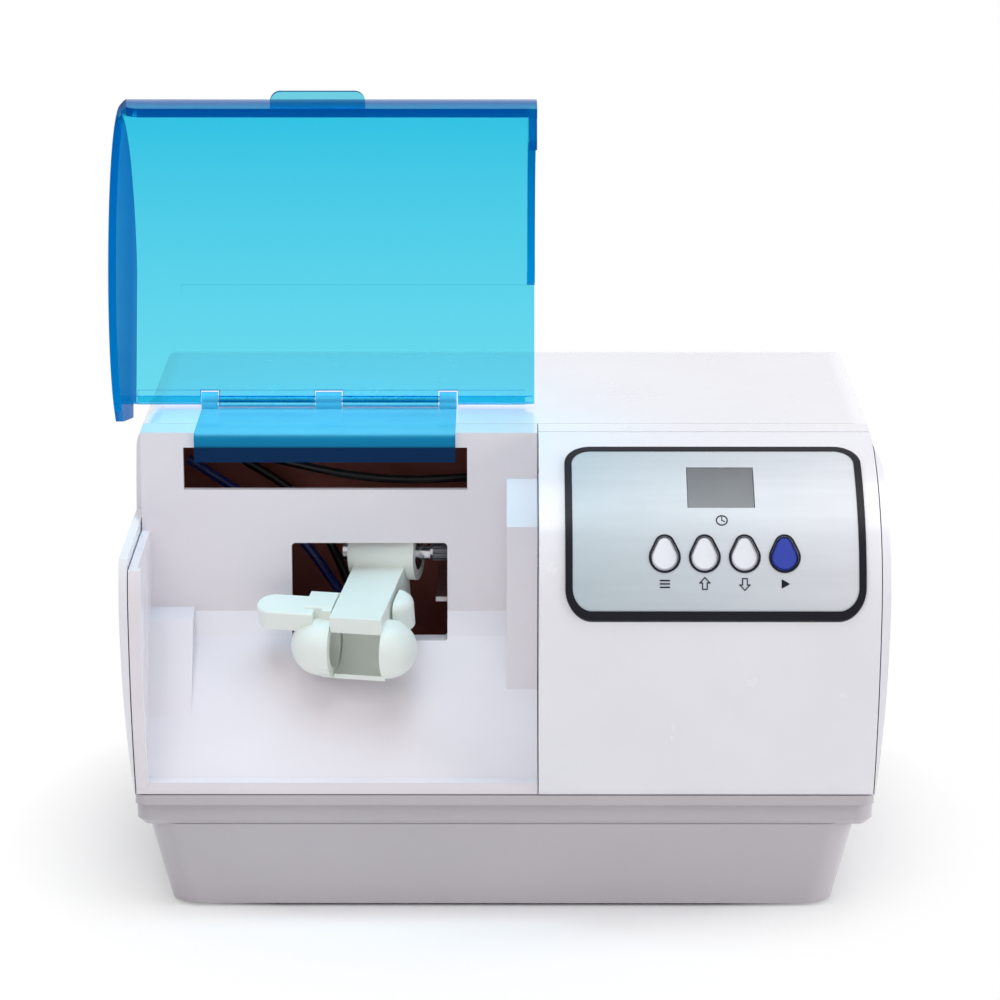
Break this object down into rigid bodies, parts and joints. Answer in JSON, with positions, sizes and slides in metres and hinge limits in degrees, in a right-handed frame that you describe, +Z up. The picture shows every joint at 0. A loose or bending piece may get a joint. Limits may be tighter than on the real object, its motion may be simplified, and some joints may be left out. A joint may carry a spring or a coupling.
{
  "type": "dental amalgamator",
  "caption": "Bench-top dental amalgamator: a white case with a rounded front, a hinged tinted lid over the mixing chamber, a capsule holder on a nutating arm and a timer panel.",
  "frame": {"origin": "bottom centre of the object's bounding box with the lid open, on the desk", "axes": "+X to the operator's right, +Y to the rear, +Z up"},
  "size_m": [0.234, 0.1916, 0.2557],
  "materials": {
    "white_shell": "gloss",
    "base_shell": "gloss",
    "chamber_white": "gloss",
    "tinted_lid": "clear tint",
    "mechanism_white": "satin",
    "steel": "bright",
    "knurled_steel": "knurled",
    "zinc_plate": "satin",
    "motor_can": "satin",
    "label_silver": "satin",
    "label_black": "gloss",
    "smoked_window": "gloss",
    "black_plastic": "matte",
    "circuit_board": "satin",
    "brown_board": "matte",
    "rubber": "matte",
    "nylon": "matte",
    "transformer_core": "satin",
    "blue_insulation": "gloss",
    "black_insulation": "gloss",
    "key_white": "gloss",
    "key_blue": "gloss"
  },
  "bodies": {
    "case": {"lower_case": "base_shell", "rubber_feet": "rubber", "case_screws": "steel", "upper_cover": "white_shell", "control_fascia": "white_shell", "panel_overlay": "label_silver", "panel_border": "label_black", "key_surrounds": "label_black", "display_window": "smoked_window", "display_module": "black_plastic", "control_board": "circuit_board", "tact_switches": "black_plastic", "mixing_chamber": "chamber_white", "lid_switch": "black_plastic", "hinge_plate": "tinted_lid", "hinge_pin": "steel", "bearing_block": "zinc_plate", "main_bearing": "steel", "drive_motor": "motor_can", "motor_strap": "zinc_plate", "motor_plate": "zinc_plate", "plate_grommets": "rubber", "insulation_board": "brown_board", "power_board": "circuit_board", "board_posts": "nylon", "transformer": "transformer_core", "smoothing_capacitor": "transformer_core", "motor_wires": "black_insulation", "blue_wire": "blue_insulation", "black_wire": "black_insulation", "mains_inlet": "black_plastic", "inlet_screws": "steel", "rocker_frame": "black_plastic", "fuse_holders": "black_plastic"},
    "lid": {"lid": "tinted_lid"},
    "shaft": {"drive_shaft": "steel", "shaft_collar": "knurled_steel"},
    "arm": {"capsule_arm": "mechanism_white", "journal_bearings": "steel", "jaw_hinge_pin": "steel", "jaw_spring": "steel"},
    "jaw": {"capsule_jaw": "mechanism_white"},
    "mode_button": {"mode_key": "key_white"},
    "up_button": {"up_key": "key_white"},
    "down_button": {"down_key": "key_white"},
    "start_button": {"start_key": "key_blue"},
    "rocker": {"power_rocker": "black_plastic"}
  },
  "joints": [
    {"name": "lid_hinge", "type": "hinge", "parent": "case", "child": "lid", "pos_m": [0, -0.013, 0.1463], "axis": [1, 0, 0], "range_deg": [0, 108]},
    {"name": "shaft_spin", "type": "hinge", "parent": "case", "child": "shaft", "pos_m": [-0.0355, -0.034, 0.1028], "axis": [1, 0, 0], "continuous": true},
    {"name": "arm_nutation", "type": "hinge", "parent": "shaft", "child": "arm", "pos_m": [-0.0355, -0.034, 0.1028], "axis": [0.9781, -0.2079, 0], "continuous": true},
    {"name": "jaw_release", "type": "hinge", "parent": "arm", "child": "jaw", "pos_m": [-0.04351, -0.05004, 0.09005], "axis": [0.0521, 0.2449, -0.9681], "range_deg": [0, 6], "stiffness_Nm_per_rad": 0.05, "springref_deg": -14.32},
    {"name": "mode_press", "type": "slide", "parent": "case", "child": "mode_button", "axis": [0, 0.8829, -0.4695], "range_m": [0, 0.0008], "stiffness_N_per_m": 400, "springref_m": -0.0008},
    {"name": "up_press", "type": "slide", "parent": "case", "child": "up_button", "axis": [0, 0.8829, -0.4695], "range_m": [0, 0.0008], "stiffness_N_per_m": 400, "springref_m": -0.0008},
    {"name": "down_press", "type": "slide", "parent": "case", "child": "down_button", "axis": [0, 0.8829, -0.4695], "range_m": [0, 0.0008], "stiffness_N_per_m": 400, "springref_m": -0.0008},
    {"name": "start_press", "type": "slide", "parent": "case", "child": "start_button", "axis": [0, 0.8829, -0.4695], "range_m": [0, 0.0008], "stiffness_N_per_m": 400, "springref_m": -0.0008},
    {"name": "rocker_tip", "type": "hinge", "parent": "case", "child": "rocker", "pos_m": [0.0295, 0.08945, 0.0575], "axis": [0, 0, -1], "range_deg": [0, 21]}
  ],
  "couplings": [
    {"joint": "arm_nutation", "follows": "shaft_spin", "ratio": -1}
  ]
}
